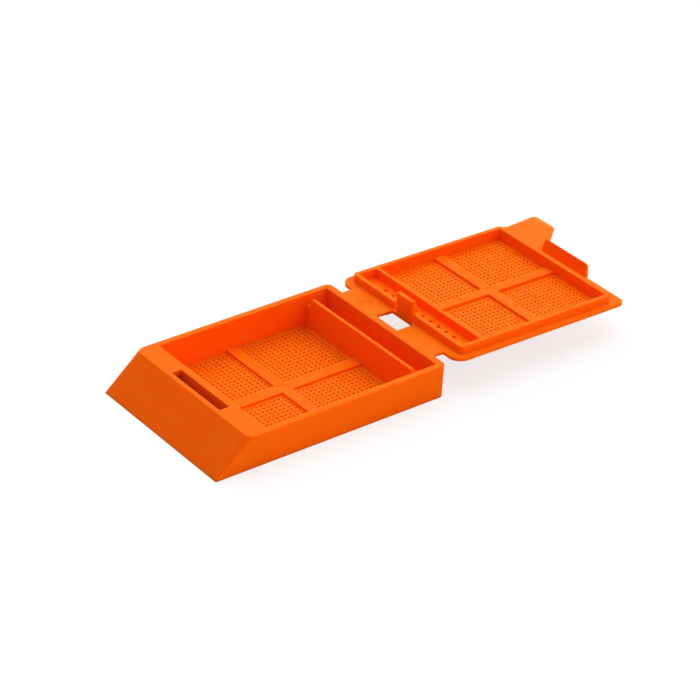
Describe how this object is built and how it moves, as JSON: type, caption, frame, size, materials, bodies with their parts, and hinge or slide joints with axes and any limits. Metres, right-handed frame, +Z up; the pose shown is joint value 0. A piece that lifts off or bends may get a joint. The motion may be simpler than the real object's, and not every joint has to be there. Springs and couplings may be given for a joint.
{
  "type": "tissue cassette",
  "caption": "Open plastic tissue cassette: perforated tray with a slanted writing face and a perforated lid that folds over on a thin web and snaps shut.",
  "frame": {"origin": "middle of the front bottom edge of the tray, on the plane it stands on", "axes": "+Z up, +Y from the slanted writing face towards the hinge and the opened lid, +X to the right seen from the writing face"},
  "size_m": [0.0293, 0.0814, 0.0085],
  "materials": {
    "base_tray": "orange acetal moulding, satin",
    "hinge_web": "orange acetal moulding, satin, thin enough to bend",
    "lid": "orange acetal moulding, satin"
  },
  "bodies": {
    "tray": {"base_tray": "base_tray", "hinge_web": "hinge_web"},
    "lid": {"lid": "lid"}
  },
  "joints": [
    {"name": "lid_hinge", "type": "hinge", "parent": "tray", "child": "lid", "pos_m": [0, 0.04105, 0.00534], "axis": [1, 0, 0], "range_deg": [0, 181], "deforming": ["hinge_web"]}
  ]
}
